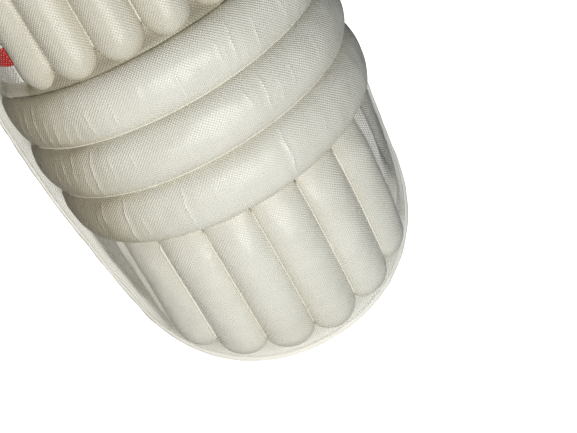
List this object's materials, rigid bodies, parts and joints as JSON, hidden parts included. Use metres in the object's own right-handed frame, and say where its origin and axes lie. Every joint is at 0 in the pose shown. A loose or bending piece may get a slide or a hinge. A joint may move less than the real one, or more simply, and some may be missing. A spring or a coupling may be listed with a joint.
{
  "type": "cricket batting pad",
  "caption": "Padded cricket leg guard: a U-shaped shell faced with upright rolls, cross rolls at the knee and a round-topped thigh guard, with a bound edge and straps across the open back.",
  "frame": {"origin": "middle of the pad's footprint, on the surface that it lies on (bounding box, bottom centre)", "axes": "+Y from the foot towards the round top of the thigh guard, +Z out of the pad's front, +X to the side that carries the cloth tab"},
  "size_m": [0.2632, 0.694, 0.1753],
  "materials": {
    "facing": "satin",
    "binding": "satin",
    "webbing": "matte",
    "tab": "matte"
  },
  "bodies": {
    "root": {"shell": "facing", "knee_roll_1": "facing", "knee_roll_2": "facing", "knee_roll_3": "facing", "shin_roll_1": "facing", "shin_roll_2": "facing", "shin_roll_3": "facing", "shin_roll_4": "facing", "shin_roll_5": "facing", "shin_roll_6": "facing", "shin_roll_7": "facing", "hat_roll_1": "facing", "hat_roll_2": "facing", "hat_roll_3": "facing", "hat_roll_4": "facing", "hat_roll_5": "facing", "hat_roll_6": "facing", "edge_binding": "binding", "side_tab": "tab", "ankle_strap": "webbing", "calf_strap": "webbing", "knee_strap": "webbing"}
  },
  "joints": []
}
